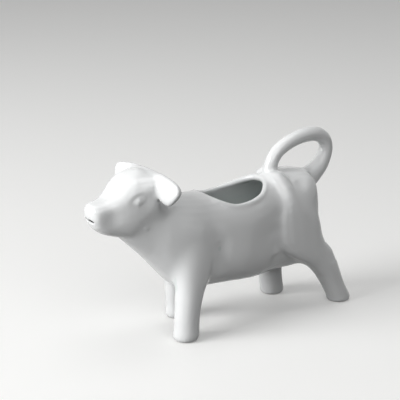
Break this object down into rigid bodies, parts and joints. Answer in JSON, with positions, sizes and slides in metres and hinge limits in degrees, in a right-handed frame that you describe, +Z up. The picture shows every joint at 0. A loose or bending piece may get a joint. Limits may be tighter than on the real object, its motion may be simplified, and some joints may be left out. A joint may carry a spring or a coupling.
{
  "type": "cow creamer",
  "caption": "Small white porcelain milk jug shaped as a walking cow: filled through the open back, poured from the mouth, and held by the tail, which curls over as the handle.",
  "frame": {"origin": "centre of the bounding box at table level, under the feet", "axes": "+X towards the tail, -X towards the muzzle, -Y the cow's left side, +Z up"},
  "size_m": [0.1635, 0.062, 0.1014],
  "materials": {
    "white_glaze": "clear glossy glaze over white porcelain"
  },
  "bodies": {
    "root": {"body_shell": "white_glaze", "head": "white_glaze", "ear_left": "white_glaze", "ear_right": "white_glaze", "leg_front_left": "white_glaze", "leg_front_right": "white_glaze", "leg_hind_left": "white_glaze", "leg_hind_right": "white_glaze", "tail_handle": "white_glaze"}
  },
  "joints": []
}
